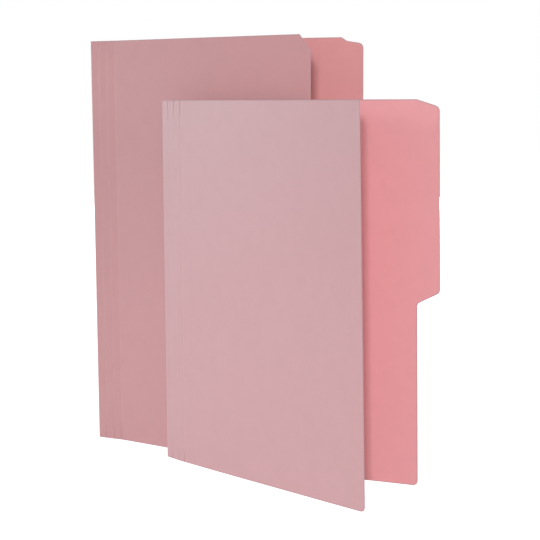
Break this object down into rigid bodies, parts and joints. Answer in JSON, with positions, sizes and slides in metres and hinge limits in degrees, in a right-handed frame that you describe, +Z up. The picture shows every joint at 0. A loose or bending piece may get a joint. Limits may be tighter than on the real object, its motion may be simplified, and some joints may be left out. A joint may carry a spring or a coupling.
{
  "type": "expanding folder",
  "caption": "Set of a short and a long card file folder, standing slightly open, each with an index tab, a narrow spine and scored expansion strips beside the fold",
  "frame": {"origin": "middle of the set's box, on the surface that the folders stand on", "axes": "+Z up along the folds; +X along the short folder's back panel, from its fold to its tab; +Y towards the long folder"},
  "size_m": [0.3226, 0.1568, 0.345],
  "materials": {
    "card_stock": "matt, uncoated, dyed pink"
  },
  "bodies": {
    "long_cover": {"long_folder_cover": "card_stock"},
    "long_strip_3": {"long_folder_expansion_strip_3": "card_stock"},
    "long_strip_2": {"long_folder_expansion_strip_2": "card_stock"},
    "long_strip_1": {"long_folder_expansion_strip_1": "card_stock"},
    "long_spine": {"long_folder_spine": "card_stock"},
    "long_back": {"long_folder_back_panel": "card_stock"},
    "short_back": {"short_folder_back_panel": "card_stock"},
    "short_spine": {"short_folder_spine": "card_stock"},
    "short_strip_1": {"short_folder_expansion_strip_1": "card_stock"},
    "short_strip_2": {"short_folder_expansion_strip_2": "card_stock"},
    "short_strip_3": {"short_folder_expansion_strip_3": "card_stock"},
    "short_cover": {"short_folder_cover": "card_stock"}
  },
  "joints": [
    {"name": "long_cover_score", "type": "hinge", "parent": "long_cover", "child": "long_strip_3", "pos_m": [-0.13762, 0.02831, 0.1725], "axis": [0, 0, -1], "range_deg": [-38.2, 6.8]},
    {"name": "long_score_2", "type": "hinge", "parent": "long_strip_3", "child": "long_strip_2", "pos_m": [-0.14542, 0.02839, 0.1725], "axis": [0, 0, -1], "range_deg": [0, 38]},
    {"name": "long_score_1", "type": "hinge", "parent": "long_strip_2", "child": "long_strip_1", "pos_m": [-0.15322, 0.02848, 0.1725], "axis": [0, 0, -1], "range_deg": [0, 38]},
    {"name": "long_expand", "type": "hinge", "parent": "long_strip_1", "child": "long_spine", "pos_m": [-0.16102, 0.02856, 0.1725], "axis": [0, 0, 1], "range_deg": [0, 76]},
    {"name": "long_fold", "type": "hinge", "parent": "long_spine", "child": "long_back", "pos_m": [-0.16121, 0.03055, 0.1725], "axis": [0, 0, 1], "range_deg": [-12, 160]},
    {"name": "short_set_apart", "type": "slide", "parent": "long_cover", "child": "short_back", "axis": [0, -1, 0], "range_m": [0, 0.25]},
    {"name": "short_fold", "type": "hinge", "parent": "short_back", "child": "short_spine", "pos_m": [-0.07371, -0.00062, 0.1475], "axis": [0, 0, -1], "range_deg": [-20, 160]},
    {"name": "short_expand", "type": "hinge", "parent": "short_spine", "child": "short_strip_1", "pos_m": [-0.07413, -0.00258, 0.1475], "axis": [0, 0, -1], "range_deg": [0, 76]},
    {"name": "short_score_1", "type": "hinge", "parent": "short_strip_1", "child": "short_strip_2", "pos_m": [-0.06702, -0.00579, 0.1475], "axis": [0, 0, 1], "range_deg": [0, 38]},
    {"name": "short_score_2", "type": "hinge", "parent": "short_strip_2", "child": "short_strip_3", "pos_m": [-0.05991, -0.009, 0.1475], "axis": [0, 0, 1], "range_deg": [0, 38]},
    {"name": "short_cover_score", "type": "hinge", "parent": "short_strip_3", "child": "short_cover", "pos_m": [-0.05259, -0.01168, 0.1475], "axis": [0, 0, 1], "range_deg": [-45, 0]}
  ],
  "couplings": [
    {"joint": "long_score_2", "follows": "long_expand", "ratio": 0.5},
    {"joint": "long_score_1", "follows": "long_expand", "ratio": 0.5},
    {"joint": "short_score_1", "follows": "short_expand", "ratio": 0.5},
    {"joint": "short_score_2", "follows": "short_expand", "ratio": 0.5}
  ]
}
